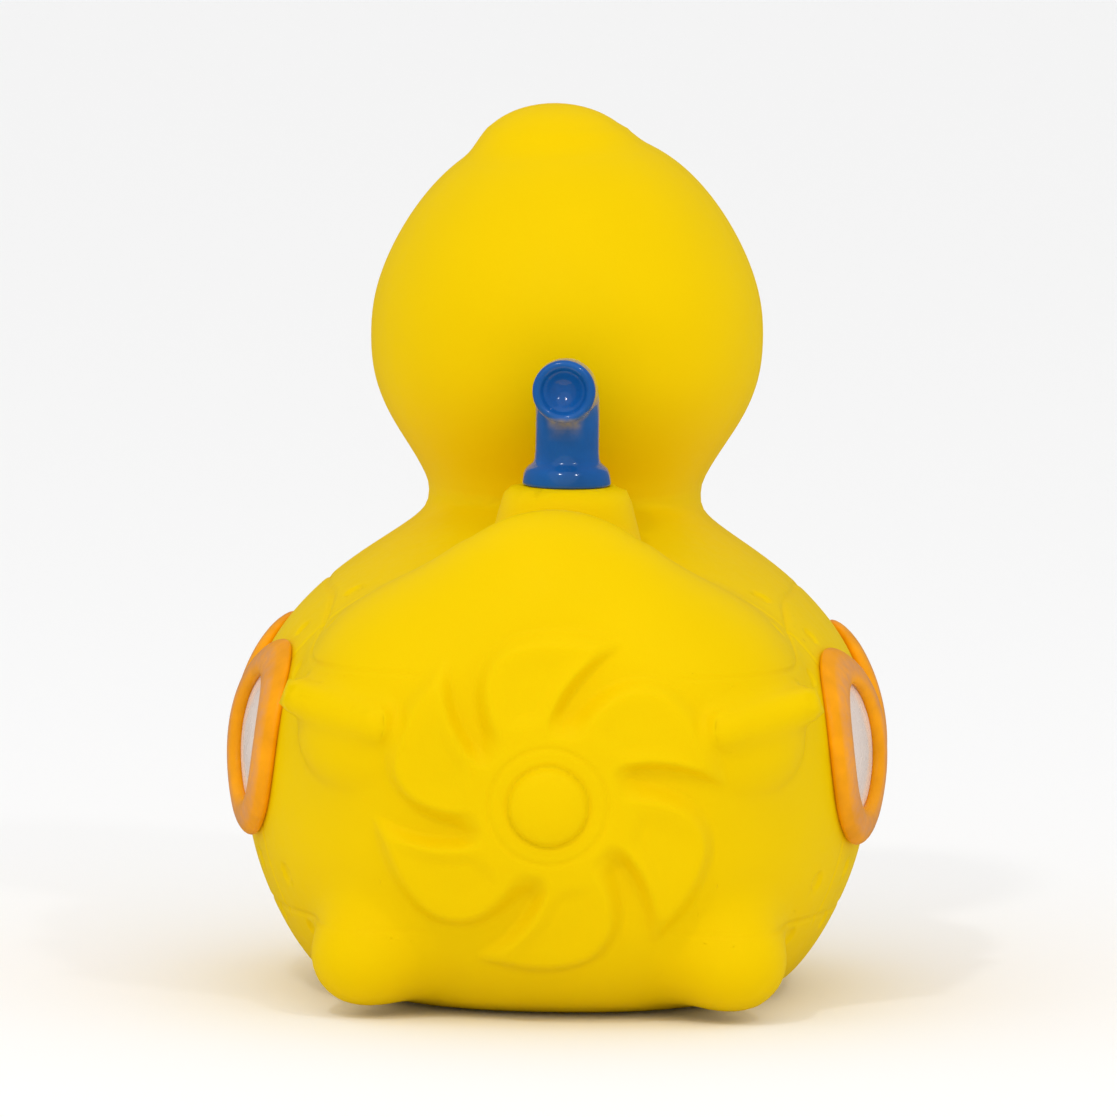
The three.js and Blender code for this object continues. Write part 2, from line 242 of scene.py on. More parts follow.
class BodyForm:
    """The vinyl casting as one field, in millimetres: negative inside, zero on its skin."""

    INNER_FLOOR = (1.5, 3.4)         # heights between which the hull's frame has only its inner wall
    SECTION_POWER = (2.3, 2.0)       # roundness of a level section, in the hull and in the neck and head
    NECK = (42.0, 50.0)              # heights over which the one becomes the other
    FOOT_ROUND = 2.0                 # rounding of the edge that the duck stands on

    def __init__(self):
        rows = {}
        for node in ("hull_shell", "head_shell"):
            co = points(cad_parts[node]) / MM
            for z in np.unique(co[:, 2].round(2)):
                if self.INNER_FLOOR[0] < z < self.INNER_FLOOR[1]:
                    continue
                ring = co[np.abs(co[:, 2] - z) < 0.02]
                if ring[:, 0].max() > 1:
                    rows[z] = (ring[:, 0].max(), ring[:, 1].min(), ring[:, 1].max())
        self.levels = sorted(rows)
        self.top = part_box("head_shell")[1].z / MM
        table = [rows[z] for z in self.levels]
        stations = self.levels + [self.top]
        middle = [(stern + breast) / 2 for _, stern, breast in table]
        self.beam2 = Spline(stations, [beam**2 for beam, _, _ in table] + [0.0])
        self.half2 = Spline(stations, [((breast - stern) / 2) ** 2 for _, stern, breast in table] + [0.0])
        self.middle = Spline(stations, middle + middle[-1:])
        self.hub = sum(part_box("propeller_hub"), Vector()) / 2 / MM
        low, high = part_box("periscope")
        radius = (high.x - low.x) / 2
        self.mast = (low.x + radius) / MM, (high.y - radius) / MM
        self.tower_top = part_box("conning_tower")[1].z / MM
        self.tail_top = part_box("tail")[1].z / MM
        self.tuft_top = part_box("head_tuft")[1].z / MM
        self.tuft_middle = (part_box("head_tuft")[0].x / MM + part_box("head_tuft")[1].x / MM) / 2

    def torso(self, p):
        z = p[:, 2]
        beam = np.sqrt(np.maximum(self.beam2(z), 1e-2))
        half = np.sqrt(np.maximum(self.half2(z), 1e-2))
        mix = smoothstep(*self.NECK, z)
        power = self.SECTION_POWER[0] * (1 - mix) + self.SECTION_POWER[1] * mix
        across = np.abs(p[:, 0]) / beam
        along = np.abs(p[:, 1] - self.middle(z)) / half
        section = (across**power + along**power + 1e-9) ** (1 / power)
        return (section - 1) * np.minimum(beam, half) + np.maximum(z - self.top, 0)

    def torso_distance(self, p):
        step = 0.05
        value = self.torso(p)
        slope = [(self.torso(p + step * axis) - value) / step for axis in np.eye(3)]
        return value / np.maximum(np.linalg.norm(slope, axis=0), 0.2)

    def lumps(self):
        """Centre, half axes and turns about X, Y and Z in degrees, on the right where a lump has a twin."""
        return {
            "crest": ((0, -30.6, self.tail_top - 15.5), (14.2, 11.6, 15), (6, 0, 0)),
            "flank": ((12.6, -28.6, 32.6), (12.4, 12.4, 12.2), (0, 0, 0)),
            "plane": ((21.2, -36.3, 32.6), (7.2, 3.2, 1.7), (0, -10, 36)),
            "gusset": ((20.2, -35.4, 29.6), (6.9, 3.4, 5.4), (0, 4, 38)),
            "foot": ((18.2, -30.2, 6.9), (6.3, 6.8, 5.8), (0, 25, 20)),
            "tuft": ((self.tuft_middle, float(self.middle(80.0)) - 0.5, self.tuft_top - 6.05),
                     (8.7, 8.6, 6.05), (0, 2, 0)),
        }

    def tail(self, p, q, lumps):
        crest = ellipsoid(turned(p, *lumps["crest"]), lumps["crest"][1])
        return blend_union(crest, ellipsoid(turned(q, *lumps["flank"]), lumps["flank"][1]), 7.0)

    def conning_tower(self, p):
        """A block that widens downwards from a flat top with a small edge."""
        x, y = self.mast
        down = self.tower_top - p[:, 2]
        wall = np.hypot(p[:, 0] - x, p[:, 1] - y) - 6.35 - 0.26 * np.clip(down, 0, 12)
        return -blend_union(-wall, down, 1.3)

    def upper_plane(self, q, lumps):
        """A blunt ledge over a low gusset that tapers into the hull."""
        ledge = round_slab(turned(q, *lumps["plane"]), lumps["plane"][1], 1.6)
        return blend_union(ledge, ellipsoid(turned(q, *lumps["gusset"]), lumps["gusset"][1]), 2.6)

    def distance(self, p):
        q = np.column_stack([np.abs(p[:, 0]), p[:, 1], p[:, 2]])
        lumps = self.lumps()
        d = blend_union(self.torso_distance(p), self.tail(p, q, lumps), 5.0)
        d = blend_union(d, self.conning_tower(p), 1.0)
        d = blend_union(d, self.upper_plane(q, lumps), 1.1)
        d = blend_union(d, ellipsoid(turned(q, *lumps["foot"]), lumps["foot"][1]), 3.6)
        d = blend_union(d, ellipsoid(turned(p, *lumps["tuft"]), lumps["tuft"][1]), 1.5)
        return -blend_union(-d, p[:, 2], self.FOOT_ROUND)

    def slope(self, p, step=0.04):
        ahead = [self.distance(p + step * axis) for axis in np.eye(3)]
        behind = [self.distance(p - step * axis) for axis in np.eye(3)]
        return (np.column_stack(ahead) - np.column_stack(behind)) / (2 * step)

    def settle(self, p, rounds=4):
        """Moves points onto the skin."""
        for _ in range(rounds):
            slope = self.slope(p)
            steep = np.maximum((slope**2).sum(axis=1), 0.05)
            p = p - np.clip(self.distance(p) / steep, -1.5, 1.5)[:, None] * slope
        return p

    # ---- relief: each gives a height off the skin and the points that need a finer mesh
    def propeller(self, p, relief, blades):
        """The moulded propeller, by bearing and radius round its hub."""
        plate, tip, shoulder = 8.5, 17.9, 0.92
        right, up = p[:, 0] - self.hub.x, p[:, 2] - self.hub.z
        radius = np.hypot(right, up)
        bearing = np.degrees(np.arctan2(-right, up))
        bow = np.clip((radius - plate) / (tip - plate), 0, 1.15) ** 1.25
        convex, hollow = 44 - 23 * bow, -5.5 - 19 * bow
        arc = np.radians(1) * radius
        inside = np.full(len(p), -99.0)
        for number in range(blades):
            own = (bearing + number * 360 / blades + 180) % 360 - 180
            across = np.clip((convex - own) / np.maximum(convex - hollow, 1), 0, 1)
            reach = tip * (1 - (1 - shoulder) * (1 - across) ** 4)
            outer = blend_union((convex - own) * arc, reach - radius, 3.0)
            hollow_side = (own - hollow) * arc * 1.5
            inside = np.maximum(inside, blend_union(outer, hollow_side, 2.2))
        inside = -blend_union(-inside, radius - plate, 1.8)
        sag = 0.24 * smoothstep(1.4, 4.4, inside) * smoothstep(8, 10, radius)
        face = smoothstep(-0.6, 1.7, inside) * (1 - sag)
        trench = smoothstep(plate - 0.5, plate + 1.5, radius) * smoothstep(tip - 0.6, tip - 6.5, radius)
        height = relief * face - 0.38 * trench * (1 - face)
        for groove, width, depth in ((5.95, 0.24, 0.15), (4.1, 0.26, 0.2)):
            height -= depth * np.exp(-(((radius - groove) / width) ** 2))
        height += 1.25 * np.sqrt(np.maximum(1 - (radius / 4.0) ** 2, 0))
        near = p[:, 1] < self.hub.y + 12
        return np.where(near & (radius < 22), height, 0), near & (radius < 19.6)

    def seams(self, p, width):
        """Two engraved seams round the hull, and a hoop fore and aft between them."""
        upper = 36.6 + 5.2 * smoothstep(-31, -9, -np.abs(p[:, 1] + 2) - 2)
        radius = np.hypot(p[:, 0] - self.hub.x, p[:, 2] - self.hub.z)
        clear = np.where(p[:, 1] < self.hub.y + 12, smoothstep(18.0, 19.5, radius), 1)
        depth, near = np.zeros(len(p)), np.zeros(len(p), bool)
        clear = clear * (0.3 + 0.7 * smoothstep(-36, -29, p[:, 1]))
        on_side = smoothstep(8.5, 9.5, p[:, 2]) * smoothstep(43.5, 42, p[:, 2])
        for off, strength in ((p[:, 2] - upper, 0.24), (p[:, 2] - 9.7, 0.2),
                              (p[:, 1] + 19.4, 0.12 * on_side), (p[:, 1] - 19.0, 0.12 * on_side)):
            off = off / (width / 2)
            depth -= strength * np.exp(-(off**2)) * clear
            near |= (np.abs(off) < 4) & (clear > 0) & (p[:, 2] < 45) & (p[:, 2] > 7)
        return depth, near

    def rivets(self, p, diameter):
        """Shallow dimples in pairs beside each hoop, over and under each seam."""
        depth, near = np.zeros(len(p)), np.zeros(len(p), bool)
        for centre in self.rivet_centres():
            off = np.linalg.norm(p - centre, axis=1) / (diameter / 2)
            depth -= 0.27 * smoothstep(1.1, 0.6, off)
            near |= off < 1.6
        return depth, near

    def rivet_centres(self):
        found = []
        for station, heights in ((-23.8, (40.2, 35.0, 13.9, 8.1)), (-15.0, (42.4, 38.4, 14.3, 8.8)),
                                 (14.6, (42.4, 38.4, 14.3, 8.8)), (23.4, (40.2, 35.0, 13.9, 8.1))):
            for height in heights:
                for side in (-1, 1):
                    found.append(self.reach_in(np.array([[side * 36.0, station, height]])))
        return found

    def reach_in(self, spot):
        """Brings a point straight in from the side until it meets the skin."""
        for _ in range(40):
            spot = spot - np.array([[math.copysign(max(self.distance(spot)[0], 0) * 0.9, spot[0, 0]), 0, 0]])
        return spot[0]


# ---------------------------------------------------------------- materials
def new_material(name, base, roughness, **values):
    material = bpy.data.materials.new(name)
    material.use_nodes = True
    shader = material.node_tree.nodes["Principled BSDF"]
    shader.inputs["Base Color"].default_value = (*base, 1)
    shader.inputs["Roughness"].default_value = roughness
    for key, value in values.items():
        shader.inputs[key.replace("_", " ")].default_value = value
    return material, shader


def noise(material, scale, detail=3.0, roughness=0.5):
    nodes, links = material.node_tree.nodes, material.node_tree.links
    place = nodes.new("ShaderNodeTexCoord")
    texture = nodes.new("ShaderNodeTexNoise")
    texture.inputs["Scale"].default_value = scale
    texture.inputs["Detail"].default_value = detail
    texture.inputs["Roughness"].default_value = roughness
    links.new(place.outputs["Object"], texture.inputs["Vector"])
    return texture.outputs["Fac"]


def ramp(material, factor, stops):
    node = material.node_tree.nodes.new("ShaderNodeValToRGB")
    material.node_tree.links.new(factor, node.inputs["Fac"])
    while len(node.color_ramp.elements) < len(stops):
        node.color_ramp.elements.new(0.5)
    for element, (position, value) in zip(node.color_ramp.elements, stops):
        element.position = position
        element.color = (*value, 1) if len(value) == 3 else value
    return node.outputs["Color"]


def grey(value):
    return (value, value, value)


def tinted(base, factor):
    return tuple(min(1.0, channel * factor) for channel in base)


def mottle(material, socket, scale, detail, *stops):
    """Drives a socket by a noise ramp, whose stops are a position with a colour or a plain value."""
    stops = [(at, value if isinstance(value, tuple) else grey(value)) for at, value in stops]
    material.node_tree.links.new(ramp(material, noise(material, scale, detail), stops), socket)


def bump(material, shader, factor, strength, distance):
    node = material.node_tree.nodes.new("ShaderNodeBump")
    node.inputs["Strength"].default_value = strength
    node.inputs["Distance"].default_value = distance
    material.node_tree.links.new(factor, node.inputs["Height"])
    previous = shader.inputs["Normal"]
    if previous.is_linked:
        material.node_tree.links.new(previous.links[0].from_socket, node.inputs["Normal"])
    material.node_tree.links.new(node.outputs["Normal"], shader.inputs["Normal"])


def vinyl_material(base):
    """Satin soft vinyl: a fine mould grain and slow changes of shade, with light soaking a little way in."""
    material, shader = new_material("yellow_vinyl", base, 0.5, IOR=1.45, Specular_IOR_Level=0.03,
                                    Subsurface_Weight=0.08, Subsurface_Scale=0.003)
    shader.inputs["Subsurface Radius"].default_value = (1.0, 0.7, 0.1)
    mottle(material, shader.inputs["Base Color"], 38.0, 2.0,
           (0.3, tinted(base, 0.965)), (0.7, tinted(base, 1.02)))
    mottle(material, shader.inputs["Roughness"], 900.0, 2.0, (0.3, 0.46), (0.7, 0.56))
    bump(material, shader, noise(material, 2600.0, 3.0), 0.12, 0.00008)
    bump(material, shader, noise(material, 160.0, 2.0), 0.06, 0.0002)
    return material


def paint_material(name, base, roughness=0.22, worn=0.06, gloss=0.3):
    """Sprayed paint: a little uneven in depth, with a faint orange-peel surface."""
    material, shader = new_material(name, base, roughness, IOR=1.45, Specular_IOR_Level=gloss,
                                    Coat_Weight=gloss * 0.5, Coat_Roughness=0.04)
    mottle(material, shader.inputs["Base Color"], 220.0, 4.0,
           (0.25, tinted(base, 1 - 2 * worn)), (0.7, tinted(base, 1 + worn)))
    mottle(material, shader.inputs["Roughness"], 600.0, 3.0, (0.3, roughness * 0.8), (0.7, roughness * 1.35))
    bump(material, shader, noise(material, 700.0, 2.0), 0.1, 0.0001)
    return material


def thin_paint_and_highlight(name, base, under, least, roughness, gloss):
    """Paint that is thin where the mesh is marked, and shows another colour there in patches: bare vinyl
    where the spray missed the periscope, and a painted highlight along the rims' crest.
    """
    material = paint_material(name, base, roughness, 0.1, gloss)
    nodes, links = material.node_tree.nodes, material.node_tree.links
    shader = nodes["Principled BSDF"]
    reader = nodes.new("ShaderNodeAttribute")
    reader.attribute_name = "bare_and_highlight"
    patchy = nodes.new("ShaderNodeMath")
    patchy.operation = "MULTIPLY"
    links.new(reader.outputs["Fac"], patchy.inputs[0])
    mottle(material, patchy.inputs[1], 900.0, 4.0, (0.35, least), (0.6, 1.0))
    mix = nodes.new("ShaderNodeMix")
    mix.data_type = "RGBA"
    factor, first, second = (mix.inputs[i] for i in (0, 6, 7))      # the sockets that a colour mix uses
    links.new(patchy.outputs[0], factor)
    links.new(shader.inputs["Base Color"].links[0].from_socket, first)
    # the second colour: bare vinyl on the periscope, and on the rims the paler lip colour as a painted
    # highlight
    second.default_value = (*under, 1)
    links.new(mix.outputs[2], shader.inputs["Base Color"])
    return material


def steel_material():
    material, shader = new_material("ballast_steel", (0.42, 0.43, 0.44), 0.38, Metallic=1.0)
    mottle(material, shader.inputs["Roughness"], 500.0, 4.0, (0.3, 0.28), (0.7, 0.5))
    return material


def plastic_material():
    material, shader = new_material("white_plastic", (0.78, 0.77, 0.72), 0.42)
    mottle(material, shader.inputs["Roughness"], 700.0, 3.0, (0.3, 0.36), (0.7, 0.5))
    bump(material, shader, noise(material, 1500.0, 2.0), 0.08, 0.00006)
    return material


MATERIALS = {}


def material(key):
    """Each finish is made once."""
    if key not in MATERIALS:
        colours = bpy.context.scene.duck_colours
        orange, lip, blue = tuple(colours.orange), tuple(colours.lip), tuple(colours.blue)
        makers = {
            "vinyl": lambda: vinyl_material(tuple(colours.vinyl)),
            "orange": lambda: paint_material("orange_paint", orange, 0.36, 0.06, 0.15),
            "mast": lambda: thin_paint_and_highlight("blue_paint", blue, tinted(colours.vinyl, 0.75), 0.4, 0.12, 0.5),
            # The rims' lip colour is a painted highlight along their crest.
            "rim": lambda: thin_paint_and_highlight("rim_paint", orange, lip, 0.4, 0.36, 0.14),
            "pane": lambda: paint_material("pane_paint", tuple(colours.pane), 0.25, 0.03),
            "white": lambda: paint_material("white_paint", (0.85, 0.84, 0.81), 0.18, 0.02),
            "black": lambda: paint_material("black_paint", tuple(colours.dark), 0.12, 0.1),
            "steel": steel_material,
            "plastic": plastic_material,
        }
        MATERIALS[key] = makers[key]()
    return MATERIALS[key]


# ---------------------------------------------------------------- the casting
def loft(form, bottom, inset, name):
    """A rough torso: a ring extruded up through the level sections, drawn in by an inset."""
    levels = [bottom] + [z for z in form.levels if bottom + 0.4 < z < form.levels[-1] - inset]

    def section(z):
        beam, half = (math.sqrt(max(float(f(z)), 1.0)) for f in (form.beam2, form.half2))
        return max(beam - inset, 0.5), max(half - inset, 0.5), float(form.middle(z))

    beam, half, middle = section(bottom)
    deselect()
    bpy.ops.mesh.primitive_circle_add(vertices=56, radius=MM, fill_type="NGON",
                                      location=(0, middle * MM, bottom * MM))
    blank = bpy.context.object
    blank.name = name
    bpy.ops.object.mode_set(mode="EDIT")
    bpy.ops.transform.resize(value=(beam, half, 1), center_override=(0, middle * MM, 0))
    height = bottom
    for z in levels[1:]:
        new_beam, new_half, new_middle = section(z)
        bpy.ops.mesh.extrude_region_move(
            TRANSFORM_OT_translate={"value": (0, (new_middle - middle) * MM, (z - height) * MM)})
        bpy.ops.transform.resize(value=(new_beam / beam, new_half / half, 1),
                                 center_override=(0, new_middle * MM, z * MM))
        beam, half, middle, height = new_beam, new_half, new_middle, z
    bpy.ops.mesh.select_all(action="SELECT")
    bpy.ops.mesh.normals_make_consistent(inside=False)
    bpy.ops.object.mode_set(mode="OBJECT")
    return blank


def lump(centre, radii, turns, side=1):
    """A rounded lump to be blended in, in millimetres and degrees, mirrored to the left by a side of -1."""
    deselect()
    bpy.ops.mesh.primitive_uv_sphere_add(segments=32, ring_count=20, radius=1)
    ball = bpy.context.object
    ball.location = (side * centre[0] * MM, centre[1] * MM, centre[2] * MM)
    about_x, about_y, about_z = (math.radians(turn) for turn in turns)
    ball.rotation_euler = (about_x, side * about_y, side * about_z)
    ball.scale = [r * MM for r in radii]
    return ball


def casting_blank(form):
    parts = [loft(form, 0.0, 0.0, "casting_blank")]
    lumps = form.lumps()
    parts += [lump(*lumps["crest"]), lump(*lumps["tuft"])]
    parts.append(lump((*form.mast, form.tower_top - 8), (7, 7, 8), (0, 0, 0)))
    for _, side in SIDES:
        parts += [lump(*lumps[name], side) for name in ("flank", "plane", "foot")]
    activate(*parts)
    bpy.ops.object.transform_apply(location=True, rotation=True, scale=True)
    bpy.ops.object.join()
    return bpy.context.object


def refine(obj, wanted):
    """Halves the faces whose corners are wanted."""
    activate(obj)
    bpy.ops.object.mode_set(mode="EDIT")
    bpy.ops.mesh.select_all(action="DESELECT")
    mesh = bmesh.from_edit_mesh(obj.data)
    mesh.verts.ensure_lookup_table()
    for face in mesh.faces:
        if all(wanted[v.index] for v in face.verts):
            face.select = True
    bmesh.update_edit_mesh(obj.data)
    bpy.ops.mesh.subdivide(number_cuts=1, smoothness=0)
    bpy.ops.object.mode_set(mode="OBJECT")


def relax(obj, form, rounds):
    """Evens the mesh and puts it back on the skin."""
    for _ in range(rounds):
        apply_modifier(obj, "SMOOTH", factor=0.5, iterations=3)
        set_points(obj, form.settle(points(obj) / MM, 2) * MM)


def carve(obj, form, sizes):
    """Raises the propeller and sinks the seams and rivets into the skin."""
    seam = sizes.seam / MM

    def relief(p, seam_width):
        """Heights and near points of the propeller, the seams and the rivets."""
        return (form.propeller(p, sizes.relief / MM, sizes.blades), form.seams(p, seam_width),
                form.rivets(p, sizes.rivet / MM))

    for reach in (1.6, 0.9):         # the second cut keeps closer to the seams
        zones = [near for _, near in relief(points(obj) / MM, seam * reach)]
        refine(obj, np.logical_or.reduce(zones))
    p = form.settle(points(obj) / MM, 3)
    height = sum(height for height, _ in relief(p, seam))
    slope = form.slope(p)
    normal = slope / np.linalg.norm(slope, axis=1)[:, None]
    set_points(obj, (p + height[:, None] * normal) * MM)


class DUCK_OT_casting(bpy.types.Operator):
    """Blend hull, head, tail, tower and stern planes into one vinyl skin with its moulded relief"""

    bl_idname = "duck.casting"
    bl_label = "Vinyl casting"

    def execute(self, context):
        sizes = context.scene.duck_sizes
        form = BodyForm()
        body = casting_blank(form)
        apply_modifier(body, "REMESH", mode="VOXEL", voxel_size=sizes.voxel)
        set_points(body, form.settle(points(body) / MM, 6) * MM)
        relax(body, form, 4)
        carve(body, form, sizes)
        hollow_out(body, form)
        activate(body)
        bpy.ops.object.shade_smooth()
        nodes = ["hull_shell", "head_shell", "head_tuft", "tail", "conning_tower"]
        nodes += ["propeller_plate", "propeller_hub"]
        nodes += [f"stern_plane_{level}_{name}" for level in ("upper", "lower") for name, _ in SIDES]
        nodes += [f"propeller_blade_{number + 1}" for number in range(sizes.blades)]
        finish_piece(body, "vinyl_casting", BODY, "yellow_vinyl", material("vinyl"), *nodes)
        return {"FINISHED"}


def hollow_out(body, form):
    """Leaves the casting a thin wall, open through the round seat of the base disc."""
    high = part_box("base_disc")[1]
    wall, seat_gap, seat_rise, reach = 2.2, 0.3 * MM, 0.6 * MM, 20 * MM
    cavity = loft(form, wall, wall, "cavity")
    deselect()
    bpy.ops.mesh.primitive_cylinder_add(vertices=96, radius=high.x + seat_gap, depth=reach,
                                        location=(0, 0, high.z + seat_rise - reach / 2))
    seat = bpy.context.object
    for cutter in (cavity, seat):
        apply_modifier(body, "BOOLEAN", operation="DIFFERENCE", object=cutter, solver="EXACT")
        bpy.data.objects.remove(cutter)


# ---------------------------------------------------------------- periscope
class DUCK_OT_periscope(bpy.types.Operator):
    """Turn the flange and sweep the tube round its elbow to the dished mouth"""

    bl_idname = "duck.periscope"
    bl_label = "Periscope"

    LOOK = 3.0              # degrees that the mouth looks to the left
    TUBE_SHARE = 0.59       # the tube's radius over the distance from the lens's foot to the elbow's top
    SUNK = 0.4 * MM         # how far the flange sits down into the boss

    def execute(self, context):
        low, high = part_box("periscope")
        flange = (high.x - low.x) / 2
        axis = Vector((low.x + flange, high.y - flange, 0))
        tube = (high.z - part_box("periscope_lens")[0].z) * self.TUBE_SHARE
        rings = self.rings(flange, tube, low.z - self.SUNK, high.z - tube, axis.y - low.y)
        mast = self.skin(rings)
        mast.location = axis
        mast.rotation_euler.z = math.radians(-self.LOOK)
        activate(mast)
        bpy.ops.object.transform_apply(location=True, rotation=True)
        apply_modifier(mast, "SUBSURF", levels=1, render_levels=1)
        bpy.ops.object.shade_smooth()
        self.worn(mast, axis, high.z - tube)
        finish_piece(mast, "periscope_mast", BODY, "blue_paint", material("mast"),
                     "periscope", "periscope_lens")
        return {"FINISHED"}

    def rings(self, flange, tube, foot, axis_z, reach):
        """Radius, centre and lean of each ring: flange, tube, bend, lip and dish.

        Each profile gives a share of the radius, and millimetres up from the foot or in from the mouth.
        """
        collar = [(0.965, 0.0), (1.0, 0.25), (1.0, 0.6), (0.975, 1.3), (0.945, 1.75), (0.885, 2.1)]
        shank = [(1.04, 2.5), (1.0, 3.1)]
        rings = [(flange * share, Vector((0, 0, foot + up * MM)), 0.0) for share, up in collar]
        rings += [(tube * share, Vector((0, 0, foot + up * MM)), 0.0) for share, up in shank]
        bend = tube * 1.12
        rings.append((tube, Vector((0, 0, axis_z - bend)), 0.0))
        steps = 10
        for i in range(1, steps + 1):
            lean = math.pi / 2 * i / steps
            centre = Vector((0, -bend * (1 - math.cos(lean)), axis_z - bend + bend * math.sin(lean)))
            rings.append((tube, centre, lean))
        lip = [(1.0, 1.5), (1.0, 0.9), (0.995, 0.5), (0.97, 0.22), (0.92, 0.05), (0.86, 0.0), (0.79, 0.05),
               (0.73, 0.2), (0.69, 0.42), (0.665, 0.62)]
        dish = [(0.63, 0.72), (0.58, 0.82), (0.49, 1.1), (0.38, 1.4), (0.26, 1.62), (0.14, 1.76), (0.05, 1.8)]
        for share, inset in lip + dish:
            rings.append((tube * share, Vector((0, -reach + inset * MM, axis_z)), math.pi / 2))
        return rings

    def skin(self, rings, count=56):
        mesh = bmesh.new()
        loops = []
        for radius, centre, lean in rings:
            across, up = Vector((1, 0, 0)), Vector((0, math.cos(lean), math.sin(lean)))
            turns = [2 * math.pi * k / count for k in range(count)]
            spokes = [across * math.cos(turn) + up * math.sin(turn) for turn in turns]
            loops.append([mesh.verts.new(centre + radius * spoke) for spoke in spokes])
        for lower, upper in zip(loops, loops[1:]):
            for k in range(count):
                after = (k + 1) % count
                mesh.faces.new((lower[k], lower[after], upper[after], upper[k]))
        mesh.faces.new(list(reversed(loops[0])))
        mesh.faces.new(loops[-1])
        bmesh.ops.recalc_face_normals(mesh, faces=mesh.faces)
        data = bpy.data.meshes.new("periscope_mast")
        mesh.to_mesh(data)
        mesh.free()
        obj = bpy.data.objects.new("periscope_mast", data)
        bpy.context.collection.objects.link(obj)
        return obj

    def worn(self, mast, axis, axis_z):
        """Marks where the spray missed: behind the lip on the right, and under the mouth."""
        p = (points(mast) - np.array([axis.x, axis.y, axis_z])) / MM
        behind_lip = band(p[:, 1], (-5.6, -4.9), (-1.2, -2.4))
        right = smoothstep(2.3, 3.0, p[:, 0]) * band(p[:, 2], (-1.5, 0.6), (3.2, 2.2))
        under = band(p[:, 2], (-4.6, -3.6), (-2.6, -3.2)) * smoothstep(2.6, 1.2, np.abs(p[:, 0] + 0.4))
        under *= smoothstep(-2.4, -3.2, p[:, 1])
        bare_and_highlight = mast.data.attributes.new("bare_and_highlight", "FLOAT", "POINT")
        bare_and_highlight.data.foreach_set("value", np.clip(behind_lip * right + 0.45 * under, 0, 1))


# ---------------------------------------------------------------- portholes
def side_skin(form, y, z, side):
    """Where the hull's side is at a station and height, in millimetres."""
    beam = math.sqrt(float(form.beam2(z)))
    half = math.sqrt(float(form.half2(z)))
    share = min(abs(y - float(form.middle(z))) / half, 0.999)
    power = form.SECTION_POWER[0]
    return side * beam * (1 - share**power) ** (1 / power)


def lay_on_side(obj, form, y, z, side):
    """Bends a flat piece (X fore and aft, Y up, Z outwards, millimetres) onto the hull's side."""
    placed = []
    for along, up, out in points(obj):
        placed.append((side_skin(form, y + along, z + up, side) + side * out, y + along, z + up))
    set_points(obj, np.array(placed) * MM)


class DUCK_OT_portholes(bpy.types.Operator):
    """Ring each porthole with a rounded rim and fill it with a shallow domed pane"""

    bl_idname = "duck.portholes"
    bl_label = "Portholes"

    def execute(self, context):
        form = BodyForm()
        for name, side in SIDES:
            for station in STATIONS:
                low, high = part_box(f"porthole_rim_{station}_{name}")
                y, z = (low.y + high.y) / 2 / MM, (low.z + high.z) / 2 / MM
                outer = (high.z - low.z) / 2 / MM
                self.rim(form, station, name, side, y, z, outer)
                self.pane(form, station, name, side, y, z, outer)
        return {"FINISHED"}

    def rim(self, form, station, name, side, y, z, outer):
        tube = 1.85
        deselect()
        bpy.ops.mesh.primitive_torus_add(major_segments=96, minor_segments=24, major_radius=outer - tube,
                                         minor_radius=tube, location=(0, 0, 0))
        rim = bpy.context.object
        co = points(rim)
        co[:, 2] = np.maximum(co[:, 2] * 0.55 + 0.68, -0.35)
        # Painted highlight: the rim's crest, its highest quarter millimetre, is marked for the paler lip
        # colour.
        lip = 0.8 * smoothstep(1.42, 1.67, co[:, 2])
        set_points(rim, co)
        lay_on_side(rim, form, y, z, side)
        outward(rim)
        activate(rim)
        bpy.ops.object.shade_smooth()
        rim.data.attributes.new("bare_and_highlight", "FLOAT", "POINT").data.foreach_set("value", lip)
        finish_piece(rim, f"rim_{station}_{name}", BODY, "orange_paint", material("rim"),
                     f"porthole_rim_{station}_{name}")

    def pane(self, form, station, name, side, y, z, outer):
        radius = outer - 2.9
        deselect()
        bpy.ops.mesh.primitive_cylinder_add(vertices=64, radius=radius, depth=0.6, location=(0, 0, -0.05))
        pane = bpy.context.object
        bpy.ops.object.transform_apply(location=True)
        bpy.ops.object.mode_set(mode="EDIT")
        bpy.ops.mesh.select_mode(type="FACE")
        bpy.ops.mesh.select_all(action="DESELECT")
        mesh = bmesh.from_edit_mesh(pane.data)
        for face in mesh.faces:
            face.select = face.normal.z > 0.9
        bmesh.update_edit_mesh(pane.data)
        for _ in range(5):
            bpy.ops.mesh.inset(thickness=radius * 0.15, depth=0.04)
        bpy.ops.object.mode_set(mode="OBJECT")
        lay_on_side(pane, form, y, z, side)
        outward(pane)
        smooth(pane, 40)
        finish_piece(pane, f"pane_{station}_{name}", BODY, "pane_paint", material("pane"),
                     f"porthole_pane_{station}_{name}")


def outward(obj):
    activate(obj)
    bpy.ops.object.mode_set(mode="EDIT")
    bpy.ops.mesh.select_all(action="SELECT")
    bpy.ops.mesh.remove_doubles(threshold=1e-6)
    bpy.ops.mesh.normals_make_consistent(inside=False)
    bpy.ops.object.mode_set(mode="OBJECT")


# ---------------------------------------------------------------- face
def lay_on_head(obj, form, bearing, z):
    """Bends a flat piece (X round the head, Y up, Z outwards, millimetres) onto the head's front."""
    co = points(obj)
    height = z + co[:, 1]
    beam, half = np.sqrt(form.beam2(height)), np.sqrt(form.half2(height))
    angle = bearing + co[:, 0] / beam
    placed = np.column_stack([(beam + co[:, 2]) * np.sin(angle),
                              form.middle(height) + (half + co[:, 2]) * np.cos(angle), height])
    set_points(obj, placed * MM)


BILL_REACH = 10.0                    # half the bill's length, most of it out of sight in the head
BLUNT = 2.8                          # power of the bill's outline: 2 is an ellipse


